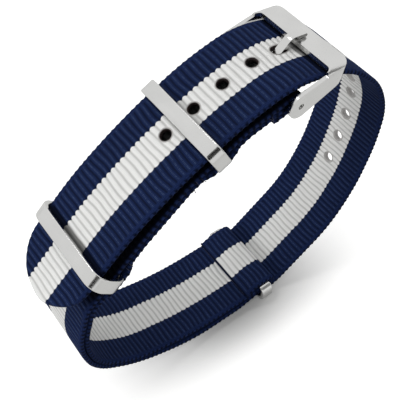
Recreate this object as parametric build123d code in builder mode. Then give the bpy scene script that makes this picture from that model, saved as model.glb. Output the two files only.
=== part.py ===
from build123d import *
from math import copysign, radians, tan
import os

# Sizes in millimetres, angles in degrees. The strap lies as a closed loop on the floor,
# +X toward the buckle's bar, Y across the webbing, +Z up, origin under the middle.

# The webbing
strap_width = 20.0
strap_thickness = 1.2
weld_film = 0.15

# The loop, measured to the webbing's outer face
loop_length = 86.0
loop_height = 76.2
bend_share = 0.45
layer_bend_radius = 8.0

# Air between the tail and the layer under it
tail_gap_at_buckle = 1.75
tail_gap_at_tip = 2.9

# The punched holes, measured along the webbing from the one that the tang is in
hole_diameter = 2.4
tang_hole_stretch = 1.0
tail_hole_pitch = 7.15
tail_hole_count = 4
side_hole_distance = 38.6
side_hole_pitch = 7.4
side_hole_count = 4
hidden_hole_count = 5

# The keeper rings
keeper_thickness = 1.1
keeper_band = 3.3
keeper_side_play = 0.8
keeper_travel = 0.5
keeper_gap = 0.15
keeper_ramp_share = 1.5
keeper_ramp_radius = 2.0
upper_keeper_air = 0.2
upper_keeper_corner = 2.4
middle_keeper_air = 0.5
middle_keeper_corner = 3.2
end_keeper_air = 0.3
end_keeper_corner = 2.1
keeper_edge_radius = 0.3

# The folds round the pin and round the end keeper
pin_play = 0.1
buckle_flap_length = 5.6
short_strap_setback = 3.0
end_bar_play = 0.2
end_keeper_place = 11.4
end_flap_length = 7.4
end_flap_step = 2.6
end_flap_step_share = 0.7
threading_shares = (1.2, -1.0)

# The buckle, square to its own tilted frame with the pin at zero
buckle_side_play = 0.6
buckle_tilt = -8.0
bar_reach = 11.6
bar_width = 4.8
bar_rise = 5.98
bar_thickness = 1.35
bar_corner_radius = 3.0
opening_corner_radius = 1.2
leg_thickness = 0.85
leg_bend_radius = 1.8
eye_radius = 2.75
leg_nose_radius = 1.75
bar_edge_chamfer = 0.35
pin_recess = 0.35

# The tang
tang_width = 1.8
tang_thickness = 0.8
tang_play = 0.06
tang_knee_setback = 1.4
tang_tip_share = 0.42
tang_knee_radius = 1.6
tail_air_under_bar = 0.4

# The fused seams
seam_width = 1.0
seam_inset = 1.0
seam_length_share = 0.9
upper_seam_share = 0.85
between_seam_share = 0.46
left_seam_share = 0.58

# All cuts run this far past the face that they open
overrun = 1.0

# The loop's corners, in shares of its length and height, from the tip over the top,
# down the right-hand side, back along the floor and up the left-hand bend
tail_shares = [(-0.500, 0.564), (-0.302, 0.769), (-0.157, 0.874), (0.006, 0.962), (0.151, 1.0005)]
side_shares = [
    (0.323, 0.950), (0.449, 0.808), (0.5008, 0.676), (0.4988, 0.518), (0.461, 0.335), (0.384, 0.179)
]
floor_shares = [(0.047, 0.0), (-0.140, 0.0)]
left_shares = [(-0.326, 0.094), (-0.449, 0.226), (-0.476, 0.394)]
left_top_share = 0.19
middle_keeper_share = 0.565
upper_keeper_share = 0.5
pin_share = 0.91
short_strap_rise_share = -0.105


def corner(shares):
    return Vector(shares[0] * loop_length, shares[1] * loop_height)


def heading(start, end):
    return (end - start).normalized()


def wrist_side(direction):
    """Square to a route that runs clockwise, toward the wrist."""
    return direction.rotate(Axis.Z, -90)


def between(start, end, share, inward=0.0):
    """A point part of the way along a run, moved off it toward the wrist."""
    return start + (end - start) * share + wrist_side(heading(start, end)) * inward


def parallel(points, inward):
    """The same route moved square to itself toward the wrist."""
    moved = []
    for place, here in enumerate(points):
        arriving = heading(points[place - 1], here) if place > 0 else heading(here, points[1])
        leaving = heading(here, points[place + 1]) if place < len(points) - 1 else arriving
        middle = (wrist_side(arriving) + wrist_side(leaving)).normalized()
        moved.append(here + middle * (inward / middle.dot(wrist_side(arriving))))
    return moved


def turn_angle(before, here, after):
    return heading(before, here).get_angle(heading(here, after))


def bend_radii(points):
    """Radii that use the same share of the shorter run at each corner."""
    radii = []
    for before, here, after in zip(points, points[1:], points[2:]):
        shorter_run = min((here - before).length, (after - here).length)
        radii.append(bend_share * shorter_run / tan(radians(turn_angle(before, here, after) / 2)))
    return radii


def parallel_radii(points, radii, inward):
    """The radii of a parallel route, smaller where it turns toward the wrist."""
    changed = []
    for before, here, after, radius in zip(points, points[1:], points[2:], radii):
        turn = wrist_side(heading(before, here)).dot(heading(here, after))
        changed.append(radius - copysign(inward, turn))
    return changed


def upright_plane(route, distance):
    """The plane on the webbing's outer face, this far along a route from its start."""
    spot = route.position_at(distance, position_mode=PositionMode.LENGTH)
    along = route.tangent_at(distance, position_mode=PositionMode.LENGTH)
    return Plane(origin=(spot.X, 0, spot.Y), x_dir=(along.X, 0, along.Y), z_dir=(-along.Y, 0, along.X))


def in_space(point):
    return Vector(point.X, 0, point.Y)


# The layers of the loop, as routes of the webbing's outer face
tail = [corner(shares) for shares in tail_shares]
side = [corner(shares) for shares in side_shares]
left = [corner(shares) for shares in left_shares]
floor = [corner(shares) for shares in floor_shares]

fold_inner_radius = strap_thickness / 2 + weld_film
fold_radius = fold_inner_radius + strap_thickness
pin_radius = fold_inner_radius - pin_play

threaded_height = keeper_thickness + end_keeper_air
threading = [
    Vector(end_keeper_place + keeper_band * share, threaded_height) for share in threading_shares
]

under_tip = strap_thickness + tail_gap_at_tip
under_buckle = strap_thickness + tail_gap_at_buckle
under_middle_keeper = parallel(tail[:2], under_tip)
under_upper_keeper = parallel(tail[2:], under_buckle)
pin = between(tail[3], tail[4], pin_share, under_buckle + fold_radius)
fold_start = between(tail[3], tail[4], pin_share, under_buckle)
fold_end = between(tail[3], tail[4], pin_share, under_buckle + 2 * fold_radius)
buckle_flap = [fold_end, fold_end - heading(tail[3], tail[4]) * buckle_flap_length]
left_top = between(under_middle_keeper[0], under_middle_keeper[1], left_top_share)

outer_loop = tail + side + threading + floor + left
inner_layer = [left_top, under_middle_keeper[1], under_upper_keeper[0], under_upper_keeper[1]]
long_route = outer_loop + inner_layer + [fold_start]
long_radii = bend_radii(outer_loop + inner_layer[:1]) + [layer_bend_radius] * len(inner_layer)

# The keepers, each in a frame square to the run that it slides on


def keeper_plane(run_start, run_end, share, inward):
    centre = in_space(between(run_start, run_end, share, inward))
    along = in_space(heading(run_start, run_end))
    return Plane(origin=centre, x_dir=(0, 1, 0), z_dir=along)


keeper_width = strap_width + 2 * (keeper_side_play + keeper_thickness)
middle_keeper_height = 2 * (strap_thickness + middle_keeper_air + keeper_thickness) + tail_gap_at_tip
upper_keeper_height = 2 * (strap_thickness + upper_keeper_air + keeper_thickness) + tail_gap_at_buckle
middle_keeper_plane = keeper_plane(
    tail[0], tail[1], middle_keeper_share, strap_thickness + tail_gap_at_tip / 2
)
upper_keeper_plane = keeper_plane(
    tail[2], tail[3], upper_keeper_share, strap_thickness + tail_gap_at_buckle / 2
)

# The short strap: a fold round the end keeper, then inside the long one up to the buckle
lower_face = threaded_height + strap_thickness + end_keeper_air
end_bar_height = lower_face + strap_thickness + end_bar_play + keeper_thickness / 2
end_fold_inner_radius = keeper_thickness / 2 + end_bar_play
end_fold_radius = end_fold_inner_radius + strap_thickness
end_fold_place = end_keeper_place + keeper_band / 2 - end_bar_play / 2
end_keeper_height = end_bar_height + keeper_thickness / 2
flap_face = lower_face + 2 * strap_thickness + weld_film

end_fold_top = Vector(end_fold_place, end_bar_height + end_fold_radius)
end_fold_bottom = Vector(end_fold_place, end_bar_height - end_fold_radius)
step_top = Vector(end_keeper_place - keeper_band * end_flap_step_share, end_fold_top.Y)
step_foot = Vector(step_top.X - end_flap_step, flap_face)
flap_end = Vector(end_fold_place - end_flap_length, flap_face)
end_flap_route = [flap_end, step_foot, step_top, end_fold_top]

layer_step = strap_thickness + weld_film


def bump(run_start, run_end, foot, air):
    """Where the short strap dips round a keeper's inner bar and comes back to the layer above."""
    along = heading(run_start, run_end)
    dip = air + keeper_thickness + keeper_gap - weld_film
    half_flat = keeper_band / 2 + keeper_travel + 2 * keeper_gap
    ramp = half_flat + dip * keeper_ramp_share
    inward = wrist_side(along) * layer_step
    deep = wrist_side(along) * (layer_step + dip)
    return [
        foot - along * ramp + inward,
        foot - along * half_flat + deep,
        foot + along * half_flat + deep,
        foot + along * ramp + inward,
    ]


middle_foot = between(tail[0], tail[1], middle_keeper_share, under_tip)
upper_foot = between(tail[2], tail[3], upper_keeper_share, under_buckle)
inside_left = parallel(floor[-1:] + left + inner_layer + [fold_start], layer_step)
short_rise = Vector(short_strap_rise_share * loop_length, lower_face)
short_top = inside_left[-1] - heading(inside_left[-2], inside_left[-1]) * short_strap_setback
short_route = (
    [end_fold_bottom, short_rise]
    + inside_left[1:5]
    + bump(left_top, inner_layer[1], middle_foot, middle_keeper_air)
    + inside_left[5:7]
    + bump(inner_layer[2], inner_layer[3], upper_foot, upper_keeper_air)
    + [inside_left[7], short_top]
)
short_radii = (
    bend_radii([end_fold_bottom, short_rise] + inside_left[1:3])
    + [radius - layer_step for radius in long_radii[-6:-4]]
    + [layer_bend_radius - layer_step]
    + [keeper_ramp_radius] * 4
    + [layer_bend_radius - layer_step] * 2
    + [keeper_ramp_radius] * 4
    + [layer_bend_radius - layer_step]
)

# The tang's middle line, seen from the side: up to a knee short of the bar, then along its top
tang_top = bar_rise + tang_play + tang_thickness / 2
tang_knee = Vector(bar_reach - bar_width - tang_knee_setback, tang_top)
tang_tip = Vector(bar_reach - bar_width + bar_width * tang_tip_share, tang_top)

# The tang crosses the tail just under the bar, and all the holes are counted from there
tang_cross_height = bar_rise - bar_thickness - tail_air_under_bar
tang_crossing = pin + (tang_knee * (tang_cross_height / tang_top)).rotate(Axis.Z, buckle_tilt)


def round_hole_places(tang_hole_place):
    in_tail = [tang_hole_place - (count + 1) * tail_hole_pitch for count in range(tail_hole_count)]
    hidden_pitch = side_hole_distance / (hidden_hole_count + 1)
    under_bar = [tang_hole_place + (count + 1) * hidden_pitch for count in range(hidden_hole_count)]
    first_side = tang_hole_place + side_hole_distance
    down_side = [first_side + count * side_hole_pitch for count in range(side_hole_count)]
    return in_tail + under_bar + down_side


# The buckle's frame of reference, with its pin along Y
buckle_plane = Plane(
    origin=in_space(pin), x_dir=Vector(1, 0, 0).rotate(Axis.Y, -buckle_tilt), z_dir=(0, -1, 0)
)
buckle_top = Plane(origin=buckle_plane.origin, x_dir=buckle_plane.x_dir, z_dir=buckle_plane.y_dir)
buckle_front = Plane(origin=buckle_plane.origin, x_dir=(0, 1, 0), z_dir=buckle_plane.x_dir)
buckle_inner_width = strap_width + 2 * buckle_side_play
buckle_width = buckle_inner_width + 2 * leg_thickness
buckle_run_on = eye_radius + bar_corner_radius + overrun
curl_radius = pin_radius + tang_play + tang_thickness

os.makedirs("parts", exist_ok=True)


# Both straps are strips with one fold: a lead up to the fold, and a run that goes on from it


def strip_face(lead, lead_radii, fold, follow, follow_radii, depth):
    """One face of a strip, this deep under its outer face."""
    lead_bends = parallel_radii(lead, lead_radii, depth)
    lead_line = FilletPolyline(*parallel(lead, depth), radius=lead_bends)
    fold_line = JernArc(lead_line @ 1, lead_line % 1, fold - depth, -180)
    follow_points = [fold_line @ 1] + parallel(follow, depth)[1:]
    if follow_radii:
        follow_bends = parallel_radii(follow, follow_radii, depth)
        follow_line = FilletPolyline(*follow_points, radius=follow_bends)
    else:
        follow_line = Line(*follow_points)
    return lead_line, fold_line, follow_line


def strip_outline(*strip):
    outer = strip_face(*strip, 0)
    inner = strip_face(*strip, strap_thickness)
    Line(outer[0] @ 0, inner[0] @ 0)
    Line(outer[2] @ 1, inner[2] @ 1)
    return outer[0]


# The long strap: one strip from the rounded tip to the fold round the pin
with BuildPart() as long_strap:
    with BuildSketch(Plane.XZ):
        with BuildLine():
            long_run = strip_outline(long_route, long_radii, fold_radius, buckle_flap, [])
        make_face()
    extrude(amount=strap_width / 2, both=True)
    with BuildSketch(upright_plane(long_run, strap_width / 2)):
        with Locations((-(strap_width / 2 + overrun) / 2, 0)):
            Rectangle(strap_width / 2 + overrun, strap_width + 2 * overrun)
        Circle(strap_width / 2, mode=Mode.SUBTRACT)
    extrude(amount=strap_thickness + overrun, both=True, mode=Mode.SUBTRACT)
    tang_hole_centre = long_run.closest_points(tang_crossing)[0]
    tang_hole_place = long_run.param_at_point(tang_hole_centre) * long_run.length
    for place in round_hole_places(tang_hole_place):
        with BuildSketch(upright_plane(long_run, place)):
            Circle(hole_diameter / 2)
        extrude(amount=strap_thickness + overrun, both=True, mode=Mode.SUBTRACT)
    # The tang's own hole is pulled longer toward the pin
    with BuildSketch(upright_plane(long_run, tang_hole_place)):
        with Locations((-tang_hole_stretch / 2, 0)):
            SlotOverall(hole_diameter + tang_hole_stretch, hole_diameter)
    extrude(amount=strap_thickness + overrun, both=True, mode=Mode.SUBTRACT)
    # The slot in the fold, where the tang's curl goes round the pin
    slot_start = -curl_radius - pin_play
    slot_end = fold_radius + overrun
    with BuildSketch(Plane(origin=in_space(pin), x_dir=(1, 0, 0), z_dir=(0, -1, 0))):
        with Locations((slot_start, 0)):
            slot_height = 2 * (fold_radius + pin_play)
            Rectangle(slot_end - slot_start, slot_height, align=(Align.MIN, Align.CENTER))
    extrude(amount=hole_diameter / 2, both=True, mode=Mode.SUBTRACT)
long_strap.part.label = "long_strap"
export_step(long_strap.part, "parts/long_strap.step")

# The short strap: folded round the end keeper and laid inside the long one
with BuildPart() as short_strap:
    with BuildSketch(Plane.XZ):
        with BuildLine():
            end_flap_radii = bend_radii(end_flap_route)
            strip_outline(end_flap_route, end_flap_radii, end_fold_radius, short_route, short_radii)
        make_face()
    extrude(amount=strap_width / 2, both=True)
short_strap.part.label = "short_strap"
export_step(short_strap.part, "parts/short_strap.step")


# The fused seams, thin bars of melted nylon across the webbing


def under_run(run_start, run_end, share):
    """Where a seam starts on the webbing's underside, and the way that it runs."""
    return between(run_start, run_end, share, strap_thickness), heading(run_start, run_end)


def seam_outline(start, along):
    """A seam between two faces of webbing that lie parallel."""
    across = wrist_side(along) * weld_film
    end = start + along * seam_width
    Polyline(start, end, end + across, start + across, close=True)


pin_run = heading(tail[3], tail[4])
fold_seam = (
    fold_start
    - pin_run * (short_strap_setback + seam_inset + seam_width)
    + wrist_side(pin_run) * strap_thickness
)
seam_places = {
    "weld_buckle_fold": (fold_seam, pin_run),
    "weld_buckle_flap": (fold_seam + wrist_side(pin_run) * layer_step, pin_run),
    "weld_upper_keeper": under_run(inner_layer[2], inner_layer[3], upper_seam_share),
    "weld_between_keepers": under_run(inner_layer[1], inner_layer[2], between_seam_share),
    "weld_middle_keeper": under_run(left[-1], left_top, left_seam_share),
    "weld_end_fold": (flap_end - Vector(0, strap_thickness), Vector(1, 0)),
}
for name, (start, along) in seam_places.items():
    with BuildPart() as seam:
        with BuildSketch(Plane.XZ):
            with BuildLine():
                seam_outline(start, along)
            make_face()
        extrude(amount=strap_width * seam_length_share / 2, both=True)
    seam.part.label = name
    export_step(seam.part, "parts/" + name + ".step")


# The keeper rings: flat bands bent to a rounded rectangle


def build_keeper(name, plane, height, corner_radius):
    with BuildPart() as keeper:
        with BuildSketch(plane):
            RectangleRounded(keeper_width, height, corner_radius)
            RectangleRounded(
                keeper_width - 2 * keeper_thickness,
                height - 2 * keeper_thickness,
                corner_radius - keeper_thickness,
                mode=Mode.SUBTRACT,
            )
        extrude(amount=keeper_band / 2, both=True)
        across_band = keeper.edges().group_by(Axis(plane.origin, plane.z_dir))
        fillet(across_band[0] + across_band[-1], keeper_edge_radius)
    keeper.part.label = name
    export_step(keeper.part, "parts/" + name + ".step")


end_keeper_plane = Plane(
    origin=(end_keeper_place, 0, end_keeper_height / 2), x_dir=(0, 1, 0), z_dir=(1, 0, 0)
)
build_keeper("keeper_middle", middle_keeper_plane, middle_keeper_height, middle_keeper_corner)
build_keeper("keeper_upper", upper_keeper_plane, upper_keeper_height, upper_keeper_corner)
build_keeper("keeper_end", end_keeper_plane, end_keeper_height, end_keeper_corner)

# The buckle's frame: a flat bar between two legs that end in eyes
with BuildPart() as buckle_frame:
    with BuildSketch(buckle_plane):
        Circle(eye_radius)
        with Locations((bar_reach - leg_nose_radius, bar_rise - leg_nose_radius)):
            Circle(leg_nose_radius)
        make_hull()
        with Locations((bar_reach, bar_rise)):
            Rectangle(bar_width + opening_corner_radius, bar_thickness, align=(Align.MAX, Align.MAX))
    extrude(amount=buckle_width / 2, both=True)
    # The room under the bar for the webbing
    with BuildSketch(buckle_plane):
        with Locations((bar_reach + overrun, bar_rise - bar_thickness)):
            room_length = bar_reach + eye_radius + 2 * overrun
            Rectangle(room_length, bar_rise + eye_radius, align=(Align.MAX, Align.MAX))
    extrude(amount=buckle_inner_width / 2, both=True, mode=Mode.SUBTRACT)
    # The outline seen from above, with its rounded corners and opening
    with BuildSketch(buckle_top):
        with Locations((bar_reach, 0)):
            RectangleRounded(
                bar_reach + buckle_run_on,
                buckle_width,
                bar_corner_radius,
                align=(Align.MAX, Align.CENTER),
            )
        with Locations((bar_reach - bar_width, 0)):
            RectangleRounded(
                bar_reach + buckle_run_on,
                buckle_inner_width,
                opening_corner_radius,
                align=(Align.MAX, Align.CENTER),
                mode=Mode.SUBTRACT,
            )
    extrude(amount=bar_reach + eye_radius, both=True, mode=Mode.INTERSECT)
    # The bend from the bar down into each leg
    with BuildSketch(buckle_front):
        with Locations((0, bar_rise)):
            RectangleRounded(
                buckle_width,
                bar_rise + buckle_run_on,
                leg_bend_radius,
                align=(Align.CENTER, Align.MAX),
            )
    extrude(amount=bar_reach + buckle_run_on, both=True, mode=Mode.INTERSECT)
    with BuildSketch(buckle_plane):
        Circle(pin_radius)
    extrude(amount=buckle_width / 2 + overrun, both=True, mode=Mode.SUBTRACT)
    bar_top = buckle_frame.faces().sort_by(Axis(buckle_plane.origin, buckle_plane.y_dir))[-1]
    chamfer(bar_top.edges().filter_by(Axis.Y).sort_by(SortBy.LENGTH)[-1], bar_edge_chamfer)
buckle_frame.part.label = "buckle_frame"
export_step(buckle_frame.part, "parts/buckle_frame.step")

# The pin through the eyes and the fold
with BuildPart() as buckle_pin:
    with BuildSketch(buckle_plane):
        Circle(pin_radius)
    extrude(amount=buckle_width / 2 - pin_recess, both=True)
buckle_pin.part.label = "buckle_pin"
export_step(buckle_pin.part, "parts/buckle_pin.step")

# The tang: curled round the pin, up through its hole and bent over onto the bar
with BuildPart() as buckle_tang:
    with BuildSketch(buckle_plane):
        with BuildLine():
            FilletPolyline(Vector(0, 0), tang_knee, tang_tip, radius=tang_knee_radius)
            offset(amount=tang_thickness / 2)
        make_face()
        Circle(curl_radius)
        Circle(pin_radius + tang_play, mode=Mode.SUBTRACT)
    extrude(amount=tang_width / 2, both=True)
buckle_tang.part.label = "buckle_tang"
export_step(buckle_tang.part, "parts/buckle_tang.step")

print("pin axis", in_space(pin))
print("loop box", long_strap.part.bounding_box())
print("long route length", long_run.length, "tang hole", tang_hole_place, "crossing", tang_crossing)
print("middle keeper", middle_keeper_plane.origin, middle_keeper_plane.z_dir)
print("upper keeper", upper_keeper_plane.origin, upper_keeper_plane.z_dir)
print("end keeper bar", end_keeper_place, end_bar_height)
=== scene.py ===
import math
import random

import bmesh
import bpy
from mathutils import Matrix, Vector, noise


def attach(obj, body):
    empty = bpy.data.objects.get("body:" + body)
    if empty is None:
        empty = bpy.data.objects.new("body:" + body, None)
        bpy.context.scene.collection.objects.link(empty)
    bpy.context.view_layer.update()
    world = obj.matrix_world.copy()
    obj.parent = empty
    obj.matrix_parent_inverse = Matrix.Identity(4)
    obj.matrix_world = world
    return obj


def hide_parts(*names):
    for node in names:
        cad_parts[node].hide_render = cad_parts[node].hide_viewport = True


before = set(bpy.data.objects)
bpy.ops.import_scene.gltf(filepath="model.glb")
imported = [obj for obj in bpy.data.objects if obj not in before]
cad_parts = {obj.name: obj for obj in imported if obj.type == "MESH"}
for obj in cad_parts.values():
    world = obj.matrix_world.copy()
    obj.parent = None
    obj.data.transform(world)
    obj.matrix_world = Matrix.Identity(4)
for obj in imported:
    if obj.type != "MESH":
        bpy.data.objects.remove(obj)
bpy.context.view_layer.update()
random.seed(11)
mm = 0.001  # lengths below are in millimetres where nothing else is said
print("frame loaded")

# The strap's route, seen from the side (x, z) in millimetres, as the solids have it; its corners
# are shares of the loop's length and height
loop = {
    "length": 86.0,
    "height": 76.2,
    "bendShare": 0.45,
    "layerRadius": 8.0,
    "tailShares": [(-0.500, 0.564), (-0.302, 0.769), (-0.157, 0.874), (0.006, 0.962), (0.151, 1.0005)],
    "sideShares": [
        (0.323, 0.950), (0.449, 0.808), (0.5008, 0.676), (0.4988, 0.518), (0.461, 0.335), (0.384, 0.179)
    ],
    "floorShares": [(0.047, 0.0), (-0.140, 0.0)],
    "leftShares": [(-0.326, 0.094), (-0.449, 0.226), (-0.476, 0.394)],
    "leftTopShare": 0.19,
    "middleKeeperShare": 0.565,
    "upperKeeperShare": 0.5,
    "pinShare": 0.91,
    "shortRiseShare": -0.105,
}
webbing = {
    "width": 20.0,
    "thickness": 1.2,
    "film": 0.15,
    "gapAtBuckle": 1.75,
    "gapAtTip": 2.9,
    "ribPitch": 1.38,
    "stepsPerRib": 6,
    "acrossSteps": 34,
    "crowding": 0.6,
    "relief": 0.095,
    "hiddenRelief": 0.02,
    "unevenness": 0.8,
    "unevenScale": (1.1, 0.3),
    "unevenSeed": 8.0,
    "valleyPower": 1.2,
    "valleyGain": 2.0,
    "edgeRound": 0.55,
    "edgeShare": 0.35,
    "edgeWave": 0.22,
    "tipShare": 0.05,
    "ribWander": 0.36,
    "wanderScale": (0.16, 0.22),
    "wanderSeed": 3.0,
    "calmLength": 2.0,
    "selvedge": 0.9,
    "selvedgeReliefShare": 0.45,
}
keepers = {
    "thickness": 1.1,
    "band": 3.3,
    "travel": 0.5,
    "gap": 0.15,
    "rampShare": 1.5,
    "rampRadius": 2.0,
    "upperAir": 0.2,
    "middleAir": 0.5,
    "endAir": 0.3,
    "endPlace": 11.4,
    "endBarPlay": 0.2,
}
folds = {
    "buckleFlap": 5.6,
    "setback": 3.0,
    "endFlap": 7.4,
    "endStep": 2.6,
    "endStepShare": 0.7,
    "threadingShares": (1.2, -1.0),
    "smoothLength": 5.0,
    "slotRun": 2.0,
}

# The punched holes: along the webbing from the tip, with the tang in the fifth of the tail
punching = {
    "radius": 1.2,
    "tangPlace": 70.243,
    "tangStretch": 1.0,
    "tangRoom": 0.08,
    "tailPitch": 7.15,
    "tailCount": 4,
    "sideDistance": 38.6,
    "sidePitch": 7.4,
    "sideCount": 4,
    "hiddenCount": 5,
    "rimRise": 0.08,
    "rimPlace": 0.30,
    "rimWidth": 0.22,
    "flatWidth": 0.8,
    "nearbyRadii": 3,
    "smoothPasses": 3,
    "smoothing": 0.5,
    "farAway": 9.0,
}


def corner(shares):
    return Vector((shares[0] * loop["length"], shares[1] * loop["height"]))


def heading(start, end):
    return (end - start).normalized()


def wristSide(direction):
    return Vector((direction.y, -direction.x))  # square to a clockwise route, inward


def between(start, end, share, inward=0.0):
    return start + (end - start) * share + wristSide(heading(start, end)) * inward


def parallel(points, inward):
    moved = []
    for place, here in enumerate(points):
        arriving = heading(points[place - 1], here) if place > 0 else heading(here, points[1])
        leaving = heading(here, points[place + 1]) if place < len(points) - 1 else arriving
        middle = (wristSide(arriving) + wristSide(leaving)).normalized()
        moved.append(here + middle * (inward / middle.dot(wristSide(arriving))))
    return moved


def bendRadii(points):
    radii = []
    for before, here, after in zip(points, points[1:], points[2:]):
        shorterRun = min((here - before).length, (after - here).length)
        turn = heading(before, here).angle(heading(here, after))
        radii.append(loop["bendShare"] * shorterRun / math.tan(turn / 2))
    return radii


def lineStretch(start, end):
    return {"start": start, "along": heading(start, end), "length": (end - start).length, "radius": 0.0}


def arcStretch(start, along, radius, angle):
    signedRadius = math.copysign(radius, angle)
    return {"start": start, "along": along, "length": radius * abs(angle), "radius": signedRadius}


def turned(vector, angle):
    return Matrix.Rotation(angle, 2) @ vector


# Straight runs joined by arcs; a positive radius turns toward the wrist
def roundedRoute(points, radii):
    stretches, start = [], points[0]
    for before, here, after, radius in zip(points, points[1:], points[2:], radii):
        arriving, leaving = heading(before, here), heading(here, after)
        turn = math.copysign(arriving.angle(leaving), wristSide(arriving).dot(leaving))
        reach = radius * math.tan(abs(turn) / 2)
        stretches.append(lineStretch(start, here - arriving * reach))
        stretches.append(arcStretch(here - arriving * reach, arriving, radius, turn))
        start = here + leaving * reach
    stretches.append(lineStretch(start, points[-1]))
    return stretches


# The point and heading this far along a route
def placeOn(stretches, distance):
    for stretch in stretches:
        if distance <= stretch["length"] or stretch is stretches[-1]:
            break
        distance -= stretch["length"]
    if stretch["radius"] == 0.0:
        return stretch["start"] + stretch["along"] * distance, stretch["along"]
    angle = -distance / stretch["radius"]
    centre = stretch["start"] + wristSide(stretch["along"]) * stretch["radius"]
    return centre + turned(stretch["start"] - centre, angle), turned(stretch["along"], angle)


def routeLength(stretches):
    return sum(stretch["length"] for stretch in stretches)


tail = [corner(shares) for shares in loop["tailShares"]]
side = [corner(shares) for shares in loop["sideShares"]]
floorRun = [corner(shares) for shares in loop["floorShares"]]
left = [corner(shares) for shares in loop["leftShares"]]

thickness = webbing["thickness"]
layerStep = thickness + webbing["film"]
foldRadius = thickness / 2 + webbing["film"] + thickness
threadedHeight = keepers["thickness"] + keepers["endAir"]
threading = [Vector((keepers["endPlace"] + keepers["band"] * share, threadedHeight))
             for share in folds["threadingShares"]]
underTip = thickness + webbing["gapAtTip"]
underBuckle = thickness + webbing["gapAtBuckle"]
underMiddleKeeper = parallel(tail[:2], underTip)
underUpperKeeper = parallel(tail[2:], underBuckle)
foldStart = between(tail[3], tail[4], loop["pinShare"], underBuckle)
leftTop = between(underMiddleKeeper[0], underMiddleKeeper[1], loop["leftTopShare"])

outerLoop = tail + side + threading + floorRun + left
innerLayer = [leftTop, underMiddleKeeper[1], underUpperKeeper[0], underUpperKeeper[1]]
longPoints = outerLoop + innerLayer + [foldStart]
longRadii = bendRadii(outerLoop + innerLayer[:1]) + [loop["layerRadius"]] * len(innerLayer)
longRun = roundedRoute(longPoints, longRadii)
pinFold = arcStretch(foldStart, heading(tail[3], tail[4]), foldRadius, math.pi)
flapStart, flapAlong = placeOn([pinFold], pinFold["length"])
flapRun = lineStretch(flapStart, flapStart + flapAlong * folds["buckleFlap"])
longRoute = longRun + [pinFold, flapRun]

lowerFace = threadedHeight + thickness + keepers["endAir"]
endBarHeight = lowerFace + thickness + keepers["endBarPlay"] + keepers["thickness"] / 2
endFoldRadius = keepers["thickness"] / 2 + keepers["endBarPlay"] + thickness
endFoldPlace = keepers["endPlace"] + keepers["band"] / 2 - keepers["endBarPlay"] / 2
flapFace = lowerFace + 2 * thickness + webbing["film"]
endFoldTop = Vector((endFoldPlace, endBarHeight + endFoldRadius))
endFoldBottom = Vector((endFoldPlace, endBarHeight - endFoldRadius))
stepTop = Vector((keepers["endPlace"] - keepers["band"] * folds["endStepShare"], endFoldTop.y))
stepFoot = Vector((stepTop.x - folds["endStep"], flapFace))
flapEnd = Vector((endFoldPlace - folds["endFlap"], flapFace))
endFlapPoints = [flapEnd, stepFoot, stepTop, endFoldTop]


# The dip of the short strap round a keeper's inner bar
def bump(runStart, runEnd, foot, air):
    along = heading(runStart, runEnd)
    dip = air + keepers["thickness"] + keepers["gap"] - webbing["film"]
    halfFlat = keepers["band"] / 2 + keepers["travel"] + 2 * keepers["gap"]
    rampFoot = halfFlat + dip * keepers["rampShare"]
    inward = wristSide(along) * layerStep
    deep = wristSide(along) * (layerStep + dip)
    return [foot - along * rampFoot + inward, foot - along * halfFlat + deep,
            foot + along * halfFlat + deep, foot + along * rampFoot + inward]


middleFoot = between(tail[0], tail[1], loop["middleKeeperShare"], underTip)
upperFoot = between(tail[2], tail[3], loop["upperKeeperShare"], underBuckle)
insideLeft = parallel(floorRun[-1:] + left + innerLayer + [foldStart], layerStep)
shortRise = Vector((loop["shortRiseShare"] * loop["length"], lowerFace))
shortTop = insideLeft[-1] - heading(insideLeft[-2], insideLeft[-1]) * folds["setback"]
shortPoints = ([endFoldBottom, shortRise] + insideLeft[1:5]
               + bump(leftTop, innerLayer[1], middleFoot, keepers["middleAir"])
               + insideLeft[5:7]
               + bump(innerLayer[2], innerLayer[3], upperFoot, keepers["upperAir"])
               + [insideLeft[7], shortTop])
layerRadius = loop["layerRadius"] - layerStep
shortRadii = (bendRadii([endFoldBottom, shortRise] + insideLeft[1:3])
              + [radius - layerStep for radius in longRadii[-6:-4]]
              + [layerRadius] + [keepers["rampRadius"]] * 4
              + [layerRadius] * 2 + [keepers["rampRadius"]] * 4 + [layerRadius])
endLead = roundedRoute(endFlapPoints, bendRadii(endFlapPoints))
endFold = arcStretch(endFoldTop, Vector((1.0, 0.0)), endFoldRadius, math.pi)
shortRoute = endLead + [endFold] + roundedRoute(shortPoints, shortRadii)
print("routes:", round(routeLength(longRoute), 1), round(routeLength(shortRoute), 1))

# Materials


def newMaterial(name):
    material = bpy.data.materials.new(name)
    material.use_nodes = True
    tree = material.node_tree
    return material, tree, tree.nodes["Principled BSDF"]


def addNode(tree, kind, **settings):
    node = tree.nodes.new(kind)
    for key, value in settings.items():
        setattr(node, key, value)
    return node


# Links a socket, or sets a plain value on it
def feed(tree, socket, value):
    if isinstance(value, bpy.types.NodeSocket):
        tree.links.new(value, socket)
    else:
        socket.default_value = value


def calc(tree, operation, first, second=None, third=None, clamp=False):
    node = addNode(tree, "ShaderNodeMath", operation=operation, use_clamp=clamp)
    for socket, value in zip(node.inputs, (first, second, third)):
        if value is not None:
            feed(tree, socket, value)
    return node.outputs[0]


def ramp(tree, value, low, high, start=0.0, end=1.0):
    node = addNode(tree, "ShaderNodeMapRange", interpolation_type="SMOOTHSTEP")
    names = ("Value", "From Min", "From Max", "To Min", "To Max")
    for name, item in zip(names, (value, low, high, start, end)):
        feed(tree, node.inputs[name], item)
    return node.outputs["Result"]


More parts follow.
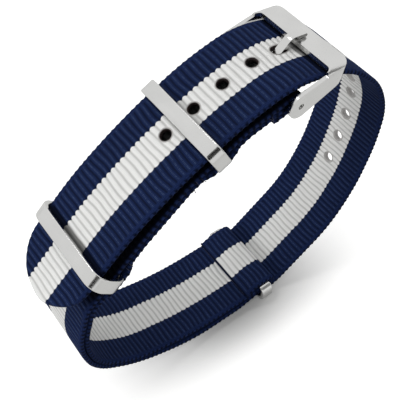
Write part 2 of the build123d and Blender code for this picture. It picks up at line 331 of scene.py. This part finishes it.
def blendColours(tree, share, first, second, kind="MIX"):
    node = addNode(tree, "ShaderNodeMix", data_type="RGBA", blend_type=kind)
    feed(tree, node.inputs[0], share)
    feed(tree, node.inputs[6], first)
    feed(tree, node.inputs[7], second)
    return node.outputs[2]


def speckle(tree, vector, scale, detail=2.0, roughness=0.5):
    node = addNode(tree, "ShaderNodeTexNoise")
    feed(tree, node.inputs["Vector"], vector)
    node.inputs["Scale"].default_value = scale
    node.inputs["Detail"].default_value = detail
    node.inputs["Roughness"].default_value = roughness
    return node.outputs["Fac"]


def stretched(tree, vector, scale):
    node = addNode(tree, "ShaderNodeMapping")
    feed(tree, node.inputs["Vector"], vector)
    node.inputs["Scale"].default_value = scale
    return node.outputs["Vector"]


# Shifts a value up or down by how far a speckle is from its middle
def varied(tree, value, noiseValue, amount):
    return calc(tree, "MULTIPLY_ADD", calc(tree, "SUBTRACT", noiseValue, 0.5), amount, value)


def addBump(tree, shader, height, strength, distance):
    node = addNode(tree, "ShaderNodeBump")
    node.inputs["Strength"].default_value = strength
    node.inputs["Distance"].default_value = distance * mm
    feed(tree, node.inputs["Height"], height)
    tree.links.new(node.outputs[0], shader.inputs["Normal"])


nylon = {
    "navy": (0.0088, 0.0178, 0.0630, 1),
    # navy darkened for painted shade in the rib valleys and at each strip's first end, and lightened for a
    # painted highlight on the rib crests
    "navyShade": (0.0042, 0.0078, 0.0270, 1),
    "navyCrestHighlight": (0.0280, 0.0460, 0.1080, 1),
    "white": (0.80, 0.80, 0.79, 1),
    # grey for painted shade in the rib valleys of the white stripe
    "whiteValleyShade": (0.52, 0.52, 0.51, 1),
    "selvedge": (0.0080, 0.0165, 0.0620, 1),
    "navyMelt": (0.012, 0.010, 0.012, 1),
    # painted shade for the hole walls in the tail's white
    "whiteWallShade": (0.030, 0.022, 0.022, 1),
    "rim": (0.42, 0.41, 0.40, 1),
    "plainWall": (0.50, 0.49, 0.48, 1),
    "grainScale": (3.0, 9.0, 1.0),
    "grainDetail": 3.0,
    "grainRoughness": 0.6,
    "wanderScale": (0.9, 0.35, 1.0),
    "patchScale": (0.06, 0.12, 1.0),
    "whiteHalf": 3.43,
    "scallop": 0.36,
    "stripeWander": 0.3,
    "stripeSoftness": 0.07,
    "selvedgeShares": (0.6, 1.3),
    "valleyShadeHump": (0.05, 0.90),
    "crestHighlightHump": (0.86, 1.0),
    "crestHighlightGrain": (0.35, 0.65),
    "patchLight": 0.55,
    "grainLight": 0.95,
    "threadLight": 0.40,
    "calmOnWhite": 0.86,
    # the long edges: painted shade where the layers meet, with a painted highlight on the rib crests
    "edgeHump": (0.35, 0.95),
    "edgeWidth": 0.5,
    "edgeShade": 0.22,
    "edgeCrestHighlight": 1.25,
    # the light left under the deepest painted shade, between layers and close under steel
    "darkestPaintedShade": 0.10,
    # the first end's dark line: melt, darkened further as painted shade
    "endMeltAndShadeRibs": (0.06, 0.22),
    "meltWander": 0.12,
    "meltRadii": (1.02, 1.16),
    "rimRadii": (1.20, 1.40),
    "wallShadeFadeRibs": 2.0,
    "threadPitch": 0.34,
    "bumpGrain": 0.9,
    "bumpStrength": 0.8,
    "bumpHeight": 0.05,
    "roughness": 0.80,
    "meltRoughness": 0.35,
    "shine": 0.06,
}


def makeWebbingMaterial():
    material, tree, shader = newMaterial("ribbedNylon")
    weave = addNode(tree, "ShaderNodeUVMap", uv_map="weave").outputs["UV"]
    split = addNode(tree, "ShaderNodeSeparateXYZ")
    tree.links.new(weave, split.inputs[0])
    ribs, across = split.outputs[0], split.outputs[1]
    hump = calc(tree, "ABSOLUTE", calc(tree, "SINE", calc(tree, "MULTIPLY", ribs, math.pi)))
    ribNumber = calc(tree, "FLOOR", ribs)
    grainPlace = stretched(tree, weave, nylon["grainScale"])
    grain = speckle(tree, grainPlace, 1.0, nylon["grainDetail"], nylon["grainRoughness"])
    wander = speckle(tree, stretched(tree, weave, nylon["wanderScale"]), 1.0)
    patch = speckle(tree, stretched(tree, weave, nylon["patchScale"]), 1.0)

    # the white stripe's edges are scalloped by the ribs
    edge = varied(tree, nylon["whiteHalf"], hump, nylon["scallop"])
    edge = varied(tree, edge, wander, nylon["stripeWander"])
    inWhite = calc(tree, "SUBTRACT", edge, calc(tree, "ABSOLUTE", across))
    whiteShare = ramp(tree, inWhite, -nylon["stripeSoftness"], nylon["stripeSoftness"])

    # threads run lengthwise over every rib, half a thread aside on the next one
    threadPhase = calc(tree, "MULTIPLY_ADD", across, 2 * math.pi / nylon["threadPitch"],
                       calc(tree, "MULTIPLY", ribNumber, math.pi))
    thread = calc(tree, "MULTIPLY_ADD", calc(tree, "SINE", threadPhase), 0.5, 0.5)
    toEdge = calc(tree, "SUBTRACT", webbing["width"] / 2, calc(tree, "ABSOLUTE", across))
    ribbed = ramp(tree, toEdge, *[webbing["selvedge"] * share for share in nylon["selvedgeShares"]])
    # painted shade darkens the rib valleys, and a painted highlight lightens the rib crests
    valleyShade = calc(tree, "MULTIPLY", ramp(tree, hump, *nylon["valleyShadeHump"], 1.0, 0.0), ribbed)
    crestHighlight = ramp(tree, hump, *nylon["crestHighlightHump"])
    crestHighlight = calc(tree, "MULTIPLY", crestHighlight, ramp(tree, grain, *nylon["crestHighlightGrain"]))
    light = varied(tree, 1.0, patch, nylon["patchLight"])
    light = varied(tree, light, grain, nylon["grainLight"])
    light = varied(tree, light, thread, nylon["threadLight"])

    navy = blendColours(tree, crestHighlight, nylon["navy"], nylon["navyCrestHighlight"])
    navy = blendColours(tree, valleyShade, navy, nylon["navyShade"])
    navy = blendColours(tree, ribbed, nylon["selvedge"], navy)
    white = blendColours(tree, valleyShade, nylon["white"], nylon["whiteValleyShade"])
    colour = blendColours(tree, whiteShare, navy, white)
    strength = calc(tree, "MULTIPLY_ADD", whiteShare, -nylon["calmOnWhite"], 1.0)
    light = calc(tree, "MULTIPLY_ADD", calc(tree, "SUBTRACT", light, 1.0), strength, 1.0)

    # painted shade darkens the strip's long edges where the layers meet, with a painted highlight on the
    # rib crests there; painted shade also darkens what lies between two layers or close under steel
    paintedEdgeLight = ramp(tree, hump, *nylon["edgeHump"], nylon["edgeShade"], nylon["edgeCrestHighlight"])
    light = calc(tree, "MULTIPLY", light, ramp(tree, toEdge, 0.0, nylon["edgeWidth"], paintedEdgeLight, 1.0))
    # the between attribute carries painted shade between layers and painted shadows close under the rings
    # and the bar
    hidden = addNode(tree, "ShaderNodeAttribute", attribute_name="between").outputs["Fac"]
    light = calc(tree, "MULTIPLY", light, ramp(tree, hidden, 0.0, 1.0, 1.0, nylon["darkestPaintedShade"]))
    lit = addNode(tree, "ShaderNodeCombineColor")
    for channel in range(3):
        feed(tree, lit.inputs[channel], light)
    shaded = blendColours(tree, 1.0, colour, lit.outputs[0], "MULTIPLY")

    # each strip's first end is melted to a dark line, darkened further as painted shade at the flap's end;
    # the holes are melted open, with a thin pale rim and a wall that is painted dark as shade in the tail
    # and plain beyond the tang
    punch = addNode(tree, "ShaderNodeUVMap", uv_map="punch").outputs["UV"]
    distance = addNode(tree, "ShaderNodeVectorMath", operation="LENGTH")
    feed(tree, distance.inputs[0], punch)
    away = varied(tree, distance.outputs["Value"], wander, nylon["meltWander"])
    melt = ramp(tree, away, *nylon["meltRadii"], 1.0, 0.0)
    rim = calc(tree, "MULTIPLY", ramp(tree, away, *nylon["rimRadii"], 1.0, 0.0), whiteShare)
    shaded = blendColours(tree, rim, shaded, nylon["rim"])
    # melt with painted shade: the dark line at each strip's first end
    endMeltAndShade = ramp(tree, ribs, *nylon["endMeltAndShadeRibs"], 1.0, 0.0)
    shaded = blendColours(tree, endMeltAndShade, shaded, nylon["navyShade"])
    # the hole walls in the tail's white are painted dark, as shade in the holes; beyond the tang they are
    # plain grey
    lastDark = (punching["tangPlace"] + punching["radius"] * 2) / webbing["ribPitch"]
    unshadedWall = ramp(tree, ribs, lastDark, lastDark + nylon["wallShadeFadeRibs"])
    holeWallColour = blendColours(tree, unshadedWall, nylon["whiteWallShade"], nylon["plainWall"])
    holeWallColour = blendColours(tree, whiteShare, nylon["navyMelt"], holeWallColour)
    feed(tree, shader.inputs["Base Color"], blendColours(tree, melt, shaded, holeWallColour))
    roughness = ramp(tree, melt, 0.0, 1.0, nylon["roughness"], nylon["meltRoughness"])
    feed(tree, shader.inputs["Roughness"], roughness)
    shader.inputs["Specular IOR Level"].default_value = nylon["shine"]
    height = varied(tree, calc(tree, "MULTIPLY", thread, hump), grain, nylon["bumpGrain"])
    addBump(tree, shader, height, nylon["bumpStrength"], nylon["bumpHeight"])
    return material


steel = {
    "dark": (0.560, 0.560, 0.552, 1),
    "light": (0.655, 0.655, 0.645, 1),
    "smooth": 0.13,
    "rough": 0.22,
    "streakStretch": (900.0, 25.0, 900.0),
    "streakScale": 4.0,
    "streakShare": 0.4,
    "cloudScale": 180.0,
    "detail": 3.0,
    "roughRange": (0.3, 1.1),
    "bumpStrength": 0.03,
    "bumpHeight": 0.01,
}


def makeSteelMaterial():
    material, tree, shader = newMaterial("polishedSteel")
    place = addNode(tree, "ShaderNodeTexCoord").outputs["Object"]
    streakPlace = stretched(tree, place, steel["streakStretch"])
    streaks = speckle(tree, streakPlace, steel["streakScale"], steel["detail"])
    clouds = speckle(tree, place, steel["cloudScale"], steel["detail"])
    feed(tree, shader.inputs["Base Color"], blendColours(tree, clouds, steel["dark"], steel["light"]))
    mixed = calc(tree, "MULTIPLY_ADD", streaks, steel["streakShare"], clouds)
    roughness = ramp(tree, mixed, *steel["roughRange"], steel["smooth"], steel["rough"])
    feed(tree, shader.inputs["Roughness"], roughness)
    shader.inputs["Metallic"].default_value = 1.0
    addBump(tree, shader, streaks, steel["bumpStrength"], steel["bumpHeight"])
    return material


melted = {
    "dark": (0.008, 0.012, 0.040, 1),
    "light": (0.030, 0.035, 0.080, 1),
    "smooth": 0.30,
    "rough": 0.55,
    "cloudScale": 900.0,
    "detail": 3.0,
    "roughRange": (0.3, 0.7),
}


def makeMeltMaterial():
    material, tree, shader = newMaterial("meltedNylon")
    place = addNode(tree, "ShaderNodeTexCoord").outputs["Object"]
    clouds = speckle(tree, place, melted["cloudScale"], melted["detail"])
    feed(tree, shader.inputs["Base Color"], blendColours(tree, clouds, melted["dark"], melted["light"]))
    roughness = ramp(tree, clouds, *melted["roughRange"], melted["smooth"], melted["rough"])
    feed(tree, shader.inputs["Roughness"], roughness)
    return material


webbingMaterial = makeWebbingMaterial()
steelMaterial = makeSteelMaterial()
meltMaterial = makeMeltMaterial()
for nodeName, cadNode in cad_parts.items():
    cadNode.data.materials.clear()
    cadNode.data.materials.append(meltMaterial if nodeName.startswith("weld") else steelMaterial)

# The buckle's edges are eased, as tumbling leaves them
easing = {
    "nodes": ("buckle_frame", "buckle_tang"),
    "width": 0.22,
    "segments": 3,
    "sharpest": 35.0,
    "profile": 0.5,
    "joinedWithin": 0.001,
}
for nodeName in easing["nodes"]:
    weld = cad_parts[nodeName].modifiers.new("joined", "WELD")
    weld.merge_threshold = easing["joinedWithin"] * mm
    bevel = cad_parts[nodeName].modifiers.new("eased", "BEVEL")
    bevel.affect, bevel.segments, bevel.profile = "EDGES", easing["segments"], easing["profile"]
    bevel.material = -1
    bevel.width, bevel.limit_method = easing["width"] * mm, "ANGLE"
    bevel.angle_limit = math.radians(easing["sharpest"])
print("materials made")


# The webbing: a flat strip with its holes, ribbed, then laid along its route
def holePlaces():
    tang = punching["tangPlace"]
    hiddenPitch = punching["sideDistance"] / (punching["hiddenCount"] + 1)
    places = [tang - (count + 1) * punching["tailPitch"] for count in range(punching["tailCount"])]
    places += [tang + (count + 1) * hiddenPitch for count in range(punching["hiddenCount"])]
    return places + [tang + punching["sideDistance"] + count * punching["sidePitch"]
                     for count in range(punching["sideCount"])]


# Where a point is from the middle of a hole, or from the nearest part of a slot's middle line
def fromHole(along, across, hole):
    middle = min(max(along, hole["place"] - hole["halfSlot"]), hole["place"] + hole["halfSlot"])
    return Vector((along - middle, across))


def outsideHole(along, across, hole):
    return fromHole(along, across, hole).length - punching["radius"]


def punchHoles(bm, holes):
    for hole in holes:
        reach = hole["halfSlot"] + punching["nearbyRadii"] * punching["radius"]
        nearby = [face for face in bm.faces if abs(face.calc_center_median().x - hole["place"]) < reach]
        inside = [face for face in nearby if outsideHole(*face.calc_center_median().xy, hole) < 0]
        around = {vert for face in nearby for vert in face.verts}
        bmesh.ops.delete(bm, geom=inside, context="FACES")
        around = [vert for vert in around if vert.is_valid]
        for vert in around:
            if vert.is_boundary and abs(vert.co.y) < webbing["width"] / 4:
                away = fromHole(*vert.co.xy, hole)
                vert.co.xy += away * (punching["radius"] / away.length - 1)
        loose = [vert for vert in around
                 if not vert.is_boundary and outsideHole(*vert.co.xy, hole) < punching["radius"]]
        for _ in range(punching["smoothPasses"]):
            bmesh.ops.smooth_vert(bm, verts=loose, factor=punching["smoothing"],
                                  use_axis_x=True, use_axis_y=True)


def flatStrip(length, holes, roundTip, cutOut):
    half = webbing["width"] / 2
    step = webbing["ribPitch"] / webbing["stepsPerRib"]
    bm = bmesh.new()
    bmesh.ops.create_grid(bm, x_segments=round(length / step), y_segments=webbing["acrossSteps"], size=1.0)
    for vert in bm.verts:
        vert.co.x = (vert.co.x + 1) / 2 * length
        crowd = webbing["crowding"] * math.sin(2 * math.pi * vert.co.y) / (2 * math.pi)
        vert.co.y = half * (vert.co.y - crowd)
        if roundTip and vert.co.x < half:
            vert.co.y *= max(math.sqrt(1 - (1 - vert.co.x / half) ** 2), webbing["tipShare"])
    punchHoles(bm, holes)
    if cutOut:
        start, end, halfWidth = cutOut
        slot = [face for face in bm.faces if start < face.calc_center_median().x < end
                and abs(face.calc_center_median().y) < halfWidth]
        bmesh.ops.delete(bm, geom=slot, context="FACES")
    bmesh.ops.solidify(bm, geom=bm.faces[:], thickness=thickness)
    bmesh.ops.recalc_face_normals(bm, faces=bm.faces[:])
    return bm


def mapPatterns(bm, holes):
    weaveLayer = bm.loops.layers.uv.new("weave")
    punchLayer = bm.loops.layers.uv.new("punch")
    for face in bm.faces:
        face.smooth = True
        middle = face.calc_center_median()
        nearest = min(holes, key=lambda hole: outsideHole(*middle.xy, hole), default=None)
        for loopCorner in face.loops:
            along, across = loopCorner.vert.co.xy
            loopCorner[weaveLayer].uv = (along / webbing["ribPitch"], across)
            away = fromHole(along, across, nearest) if nearest else Vector((punching["farAway"], 0))
            loopCorner[punchLayer].uv = away / punching["radius"]


def unevenAt(along, across, scale, seed):
    return noise.noise(Vector((along * scale[0], across * scale[1], seed)))


# Grows from a share to one
def partly(share, amount):
    return share + (1 - share) * amount


def layWebbing(name, route, holes, roundTip, reliefOf, cutOut=None):
    length, half = routeLength(route), webbing["width"] / 2
    bm = flatStrip(length, holes, roundTip, cutOut)
    mapPatterns(bm, holes)
    spots, paintedShadeLayer = {}, bm.verts.layers.float.new("between")
    lowest = min(vert.co.z for vert in bm.verts)
    for vert in bm.verts:
        along, across = vert.co.xy
        outerFace = vert.co.z > lowest / 2
        key = round(along, 5)
        if key not in spots:
            spots[key] = placeOn(route, along)
        spot, direction = spots[key]
        onTip = roundTip and along < half
        edge = half - (math.hypot(half - along, across) if onTip else abs(across))
        toEnd = min(length - along, length if roundTip else along)
        edge = max(min(edge, toEnd), 0.0)
        near = min((outsideHole(along, across, hole) for hole in holes
                    if abs(hole["place"] - along) < punching["farAway"]), default=punching["farAway"])
        near = max(near, 0.0)

        # the ribs wander a little along the strip, but not at its ends or its holes
        wander = unevenAt(along, across, webbing["wanderScale"], webbing["wanderSeed"])
        calm = webbing["calmLength"]
        drift = webbing["ribWander"] * wander * min(near, toEnd, calm) / calm

        # the ribs sink between their crests, less in the selvedge and not at all round the holes
        wave = abs(math.sin(math.pi * along / webbing["ribPitch"]))
        uneven = unevenAt(along, across, webbing["unevenScale"], webbing["unevenSeed"])
        selvedge = partly(webbing["selvedgeReliefShare"], min(edge / webbing["selvedge"], 1.0))
        sunk = reliefOf(along, outerFace) * (1 + webbing["unevenness"] * uneven) * selvedge
        sunk *= min(near / punching["flatWidth"], 1.0)
        sunk *= webbing["valleyGain"] * (1 - wave ** webbing["valleyPower"])
        rim = math.exp(-((near - punching["rimPlace"]) / punching["rimWidth"]) ** 2)
        bulge = min(edge / webbing["edgeRound"], 1.0)
        thin = partly(webbing["edgeShare"], math.sqrt(1 - (1 - bulge) ** 2))
        faceHeight = (thickness / 2 - sunk + punching["rimRise"] * rim) * thin
        outward = faceHeight * (1 if outerFace else -1) - thickness / 2
        sideways = math.copysign(webbing["edgeWave"] * (wave - 1) * (1 - bulge), across)
        sideways = 0.0 if onTip else sideways
        # painted shade on the outer face, under the tail and close under the rings and the bar
        vert[paintedShadeLayer] = paintedShadeShare(along, edge) if outerFace and roundTip else 0.0
        placed = spot + direction * drift - wristSide(direction) * outward
        vert.co = Vector((placed.x, across + sideways, placed.y)) * mm
    mesh = bpy.data.meshes.new(name)
    bm.to_mesh(mesh)
    bm.free()
    mesh.materials.append(webbingMaterial)
    strip = bpy.data.objects.new(name, mesh)
    bpy.context.scene.collection.objects.link(strip)
    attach(strip, "strap")
    triangles = sum(len(face.vertices) - 2 for face in mesh.polygons)
    print(name, triangles, "triangles,", round(length, 1), "mm")
    return strip


halfStretch = punching["tangStretch"] / 2
holes = [{"place": place, "halfSlot": 0.0} for place in holePlaces()]
holes.append({"place": punching["tangPlace"] - halfStretch,
              "halfSlot": halfStretch + punching["tangRoom"]})
foldAt = routeLength(longRun)
doubledPoints = len(outerLoop) - len(left)
doubledAt = routeLength(roundedRoute(longPoints[:doubledPoints], longRadii[:doubledPoints - 2]))
coveredPoints = len(outerLoop) + 1
coveredAt = routeLength(roundedRoute(longPoints[:coveredPoints], longRadii[:coveredPoints - 2]))


# Painted shadows where the tail lies close under the rings and the bar, and how dark they are painted
# there
shade = {
    "fade": 1.3,
    "edge": 0.4,
    "middleKeeperShare": 0.85,
    "upperKeeperShare": 0.55,
    "barShare": 0.92,
    "barFromTang": 3.5,
    "barWidth": 4.9,
}
middleKeeperAt = (between(*tail[:2], loop["middleKeeperShare"]) - tail[0]).length
upperKeeperPoints = tail[:3] + [between(*tail[2:4], loop["upperKeeperShare"])]
upperKeeperAt = routeLength(roundedRoute(upperKeeperPoints, longRadii[:2]))
barAt = punching["tangPlace"] + shade["barFromTang"]
paintedShadowRuns = [
    (middleKeeperAt, middleKeeperAt + keepers["band"] / 2, shade["middleKeeperShare"]),
    (upperKeeperAt, upperKeeperAt + keepers["band"] / 2, shade["upperKeeperShare"]),
    (barAt, barAt + shade["barWidth"] / 2, shade["barShare"]),
]


# How much painted shade the outer face gets, hidden under the tail or close under steel
def paintedShadeShare(along, edge):
    covered = min(max((along - coveredAt) / folds["smoothLength"], 0.0), 1.0)
    covered *= min(edge / shade["edge"], 1.0)
    for start, end, share in paintedShadowRuns:
        inside = min(along - start, end - along) / shade["fade"] + 1.0
        covered = max(covered, share * min(max(inside, 0.0), 1.0))
    return covered


def longRelief(along, outerFace):
    hidden = along > foldAt - folds["smoothLength"] or along > doubledAt and not outerFace
    return webbing["hiddenRelief"] if hidden else webbing["relief"]


def shortRelief(along, outerFace):
    inFold = abs(along - routeLength(endLead)) < folds["smoothLength"]
    return webbing["hiddenRelief"] if outerFace or inFold else webbing["relief"]


foldSlot = (foldAt - folds["slotRun"], foldAt + pinFold["length"] + folds["slotRun"], punching["radius"])
longStrip = layWebbing("longWebbing", longRoute, holes, True, longRelief, foldSlot)
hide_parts("long_strap")
shortStrip = layWebbing("shortWebbing", shortRoute, [], False, shortRelief)
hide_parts("short_strap")
print("webbing laid")

# Loose ends of thread at the near edge of the doubled layers, placed by their x
fray = {
    "places": (-28.0, -27.2, -11.6, -10.6, -9.9, 6.4, 7.3),
    "threadRadius": 0.07,
    "length": 1.3,
    "shortestShare": 0.8,
    "shallowest": 0.3,
    "depth": 1.0,
    "lean": 0.5,
    "droop": 0.35,
    "inset": 0.25,
    "runs": 4,
}


def doubledDistance(x):
    steps = [doubledAt + step for step in range(round(foldAt - doubledAt))]
    upper = [step for step in steps if placeOn(longRoute, step)[0].y > loop["height"] / 2]
    return min(upper, key=lambda step: abs(placeOn(longRoute, step)[0].x - x))


def addFray():
    curve = bpy.data.curves.new("looseThreads", "CURVE")
    curve.dimensions = "3D"
    curve.bevel_depth = fray["threadRadius"] * mm
    curve.bevel_resolution = 1
    curve.use_fill_caps = True
    for x in fray["places"]:
        spot, direction = placeOn(longRoute, doubledDistance(x))
        start = spot + wristSide(direction) * random.uniform(fray["shallowest"], fray["depth"] + thickness)
        lean = random.uniform(-fray["lean"], fray["lean"])
        spline = curve.splines.new("POLY")
        spline.points.add(fray["runs"])
        for number, point in enumerate(spline.points):
            share = number / fray["runs"]
            out = fray["length"] * share * random.uniform(fray["shortestShare"], 1.0)
            bend = direction * (lean * out) + wristSide(direction) * (fray["droop"] * share * share)
            nearEdge = -webbing["width"] / 2 + fray["inset"] - out
            point.co = ((start.x + bend.x) * mm, nearEdge * mm, (start.y + bend.y) * mm, 1)
    holder = bpy.data.objects.new("looseThreads", curve)
    mesh = bpy.data.meshes.new_from_object(holder)
    bpy.data.objects.remove(holder)
    mesh.materials.clear()
    mesh.materials.append(meltMaterial)
    threads = bpy.data.objects.new("looseThreads", mesh)
    bpy.context.scene.collection.objects.link(threads)
    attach(threads, "strap")


addFray()
print("loose threads added")

# Camera, light and floor
view = {
    "place": (-57.0, -75.15, 165.3),
    "forward": (0.355, 0.486, -0.799),
    "up": (0.471, 0.645, 0.601),
    "lens": 63.0,
    "sensor": 36.0,
    "nearest": 0.005,
}
cameraData = bpy.data.cameras.new("camera")
cameraData.lens, cameraData.sensor_width = view["lens"], view["sensor"]
cameraData.clip_start = view["nearest"]
camera = bpy.data.objects.new("camera", cameraData)
bpy.context.scene.collection.objects.link(camera)
back = -Vector(view["forward"]).normalized()
right = Vector(view["up"]).cross(back).normalized()
turn = Matrix((right, back.cross(right), back)).transposed()
camera.matrix_world = Matrix.Translation(Vector(view["place"]) * mm) @ turn.to_4x4()
bpy.context.scene.camera = camera

studio = {
    "target": (0.0, 0.0, 0.035),
    "floorSize": 3.0,
    "floorColour": (0.66, 0.66, 0.65, 1),
    "floorRoughness": 0.9,
    "floorShine": 0.1,
    "nearGlow": 0.0,
    "glowInSteel": 0.42,
    "farGlow": 0.65,
    # the ellipse of painted shadow on the floor round the contact, where the glow falls to nearGlow
    "paintedShadowCentre": (3.0, -11.0),
    "paintedShadowReach": (44.0, 14.0),
    "world": 0.54,
    "lamps": [
        # name, direction from the target, distance in metres, size, power, seen in the steel
        ("keyLamp", (-0.10, 0.40, 0.91), 0.9, 0.18, 0.7, True),
        ("softLamp", (-0.10, 0.18, 0.97), 0.9, 0.85, 2.2, False),
        ("sideLamp", (-0.92, 0.27, 0.27), 0.9, 0.30, 2.3, False),
    ],
    "cards": [
        # name, direction from the target, distance in metres, size, grey
        ("cardByCamera", (-0.355, -0.486, 0.799), 0.24, 0.13, 0.01),
        ("cardInFront", (0.50, -0.60, 0.60), 0.24, 0.15, 0.35),
        ("cardAtLeft", (-0.765, -0.487, 0.423), 0.24, 0.12, 0.01),
    ],
}


def standOff(thing, direction, distance):
    target = Vector(studio["target"])
    thing.location = target + Vector(direction).normalized() * distance
    thing.rotation_euler = (target - thing.location).to_track_quat("-Z", "Y").to_euler()


def addPlane(name, size, material):
    bm = bmesh.new()
    bmesh.ops.create_grid(bm, x_segments=1, y_segments=1, size=size / 2)
    mesh = bpy.data.meshes.new(name)
    bm.to_mesh(mesh)
    bm.free()
    mesh.materials.append(material)
    plane = bpy.data.objects.new(name, mesh)
    bpy.context.scene.collection.objects.link(plane)
    return plane


for lampName, direction, distance, size, power, inSteel in studio["lamps"]:
    lampData = bpy.data.lights.new(lampName, "AREA")
    lampData.shape, lampData.size, lampData.energy = "DISK", size, power
    lamp = bpy.data.objects.new(lampName, lampData)
    bpy.context.scene.collection.objects.link(lamp)
    standOff(lamp, direction, distance)
    lamp.visible_glossy = inSteel

floorMaterial, floorTree, floorShader = newMaterial("paleFloor")
floorShader.inputs["Base Color"].default_value = studio["floorColour"]
floorShader.inputs["Roughness"].default_value = studio["floorRoughness"]
floorShader.inputs["Specular IOR Level"].default_value = studio["floorShine"]
floorShader.inputs["Emission Color"].default_value = (1, 1, 1, 1)


# How much a ray sees the plain background: camera, glossy and transmission rays do
def backgroundShare(tree, inSteel=1.0):
    rays = addNode(tree, "ShaderNodeLightPath").outputs
    glossy = calc(tree, "MULTIPLY", rays["Is Glossy Ray"], inSteel)
    share = calc(tree, "MAXIMUM", rays["Is Camera Ray"], glossy)
    return calc(tree, "MAXIMUM", share, rays["Is Transmission Ray"])


# The floor glows white all round, but not inside an ellipse round the contact: there the lamps' contact
# shadow is deepened by a painted shadow
glowMap = addNode(floorTree, "ShaderNodeMapping", vector_type="TEXTURE")
feed(floorTree, glowMap.inputs["Vector"], addNode(floorTree, "ShaderNodeTexCoord").outputs["Object"])
glowMap.inputs["Location"].default_value = [item * mm for item in studio["paintedShadowCentre"]] + [0.0]
glowMap.inputs["Scale"].default_value = [item * mm for item in studio["paintedShadowReach"]] + [1.0]
away = addNode(floorTree, "ShaderNodeVectorMath", operation="LENGTH")
feed(floorTree, away.inputs[0], glowMap.outputs["Vector"])
glow = ramp(floorTree, away.outputs["Value"], 0.0, 1.0, studio["nearGlow"], studio["farGlow"])
glow = calc(floorTree, "MULTIPLY", backgroundShare(floorTree, studio["glowInSteel"]), glow)
feed(floorTree, floorShader.inputs["Emission Strength"], glow)
addPlane("floor", studio["floorSize"], floorMaterial)

# Grey and black cards round the camera that only the steel shows, as small dark marks in its bends
for cardName, direction, distance, size, grey in studio["cards"]:
    cardMaterial, cardTree, cardShader = newMaterial(cardName)
    cardShader.inputs["Base Color"].default_value = (grey, grey, grey, 1)
    card = addPlane(cardName, size, cardMaterial)
    standOff(card, direction, distance)
    card.visible_camera = card.visible_diffuse = card.visible_shadow = card.visible_transmission = False

world = bpy.data.worlds.new("studio")
world.use_nodes = True
bpy.context.scene.world = world
background = world.node_tree.nodes["Background"]
background.inputs["Color"].default_value = (1, 1, 1, 1)
worldStrength = calc(world.node_tree, "MULTIPLY_ADD", backgroundShare(world.node_tree),
                     1.0 - studio["world"], studio["world"])
feed(world.node_tree, background.inputs["Strength"], worldStrength)
bpy.context.scene.view_settings.view_transform = "Standard"
print("studio ready")
